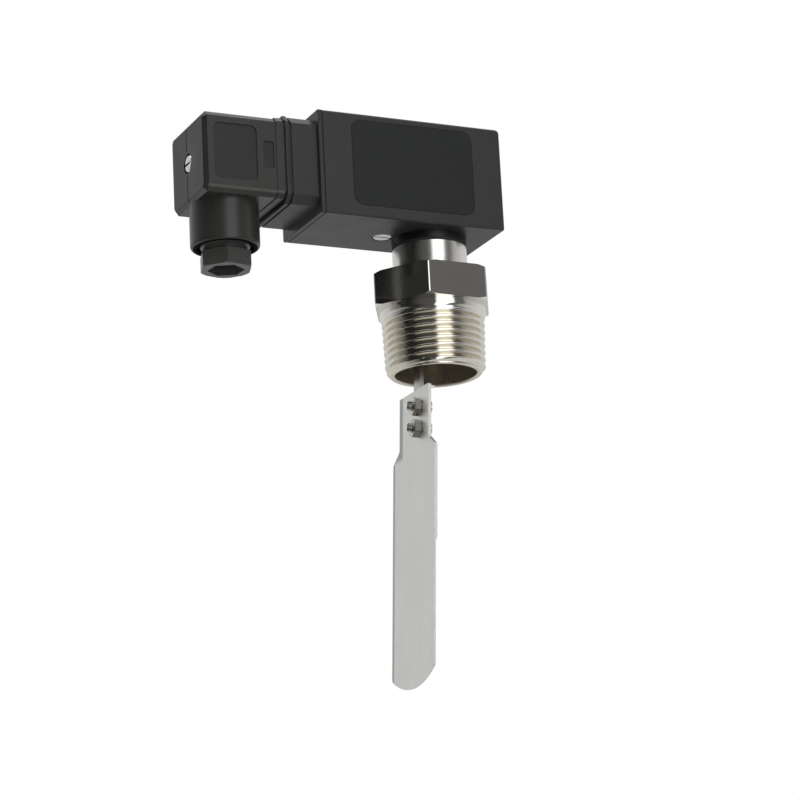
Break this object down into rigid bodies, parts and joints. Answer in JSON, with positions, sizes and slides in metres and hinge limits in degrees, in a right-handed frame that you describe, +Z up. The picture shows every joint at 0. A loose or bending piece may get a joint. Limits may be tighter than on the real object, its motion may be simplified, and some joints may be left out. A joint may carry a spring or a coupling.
{
  "type": "paddle flow switch",
  "caption": "Paddle flow switch: black plastic switch housing with a square cable plug, nickel-plated taper-thread nipple with hexagon, and a hanging stainless paddle.",
  "frame": {"origin": "on the axis of the process thread, at its gauge plane, 10.4 mm above the nipple's lower end", "axes": "+Z up along the nipple towards the housing, +X the flow direction and the long axis of the housing, the cable plug at -X"},
  "size_m": [0.1046, 0.037, 0.1841],
  "materials": {
    "nickel_brass": "polished nickel plate on brass",
    "black_rubber": "smooth rubber",
    "spring_steel": "spring steel",
    "stainless": "bead-dull stainless steel",
    "stainless_blade": "mill-finish stainless sheet",
    "stainless_fastener": "bright stainless fasteners",
    "brass": "turned brass",
    "bronze": "tin bronze",
    "black_housing": "fine-grained glass-filled plastic",
    "black_plug": "fine-grained glass-filled plastic",
    "insert_plastic": "moulded plastic",
    "switch_plastic": "phenolic moulding",
    "plunger_plastic": "acetal",
    "label_black": "printed film, bare",
    "tinned_contact": "tinned brass",
    "zinc_steel": "zinc-plated steel",
    "wire_blue": "PVC sleeve",
    "wire_green": "PVC sleeve"
  },
  "bodies": {
    "switch_body": {"process_nipple": "nickel_brass", "neck_oring": "black_rubber", "retaining_ring": "spring_steel", "boss_seal": "black_rubber", "pivot_pin": "stainless", "pivot_spacers": "brass", "bellows_flange": "bronze", "bellows_clamp_ring": "brass", "housing_body": "black_housing", "label_plate": "label_black", "end_cap_seal": "black_rubber", "end_cap": "black_housing", "socket_insert": "insert_plastic", "contact_blades": "tinned_contact", "socket_nut": "brass", "switch_bracket": "zinc_steel", "bracket_screws": "zinc_steel", "microswitch_body": "switch_plastic", "microswitch_cover": "switch_plastic", "switch_terminals": "tinned_contact", "switch_screws": "zinc_steel", "switch_nuts": "zinc_steel", "switch_wires": "wire_blue", "earth_wire": "wire_green", "earth_tag": "tinned_contact", "range_spring": "spring_steel"},
    "paddle": {"rocker": "brass", "lever": "stainless", "bellows": "bronze", "bellows_cap": "bronze", "paddle_long": "stainless_blade", "paddle_short": "stainless_blade", "paddle_screws": "stainless_fastener", "paddle_nuts": "stainless_fastener"},
    "plunger": {"switch_plunger": "plunger_plastic"},
    "adjuster": {"adjusting_screw": "zinc_steel"},
    "seat": {"spring_seat": "brass"},
    "plug": {"profile_gasket": "black_rubber", "plug_housing": "black_plug", "plug_insert": "insert_plastic", "plug_contacts": "tinned_contact", "clamp_screws": "zinc_steel", "gland_seal": "black_rubber", "gland_washer": "insert_plastic"},
    "plug_screw": {"central_screw": "zinc_steel"},
    "pressure_nut": {"gland_nut": "black_plug"}
  },
  "joints": [
    {"name": "paddle_swing", "type": "hinge", "parent": "switch_body", "child": "paddle", "pos_m": [0, 0, 0.0336], "axis": [0, -1, 0], "range_deg": [0, 10], "stiffness_Nm_per_rad": 0.06, "springref_deg": -20.05, "deforming": ["bellows", "range_spring"]},
    {"name": "plunger_travel", "type": "slide", "parent": "switch_body", "child": "plunger", "axis": [0, 0, -1], "range_m": [0, 0.0008]},
    {"name": "adjusting_screw_turn", "type": "hinge", "parent": "switch_body", "child": "adjuster", "pos_m": [-0.01575, 0.0021, 0.03585], "axis": [0, 0, 1], "range_deg": [0, 540]},
    {"name": "spring_seat_travel", "type": "slide", "parent": "switch_body", "child": "seat", "axis": [0, 0, 1], "range_m": [0, 0.00121]},
    {"name": "plug_pull", "type": "slide", "parent": "switch_body", "child": "plug", "axis": [-1, 0, 0], "range_m": [0, 0.012]},
    {"name": "central_screw_turn", "type": "hinge", "parent": "plug", "child": "plug_screw", "pos_m": [-0.0837, 0, 0.0535], "axis": [-1, 0, 0], "range_deg": [0, 720]},
    {"name": "pressure_nut_turn", "type": "hinge", "parent": "plug", "child": "pressure_nut", "pos_m": [-0.0719, 0, 0.0212], "axis": [0, 0, 1], "range_deg": [0, 360]}
  ],
  "couplings": [
    {"joint": "plunger_travel", "follows": "paddle_swing", "m_per_rad": 0.0045},
    {"joint": "spring_seat_travel", "follows": "adjusting_screw_turn", "m_per_rad": 0.00012732}
  ]
}
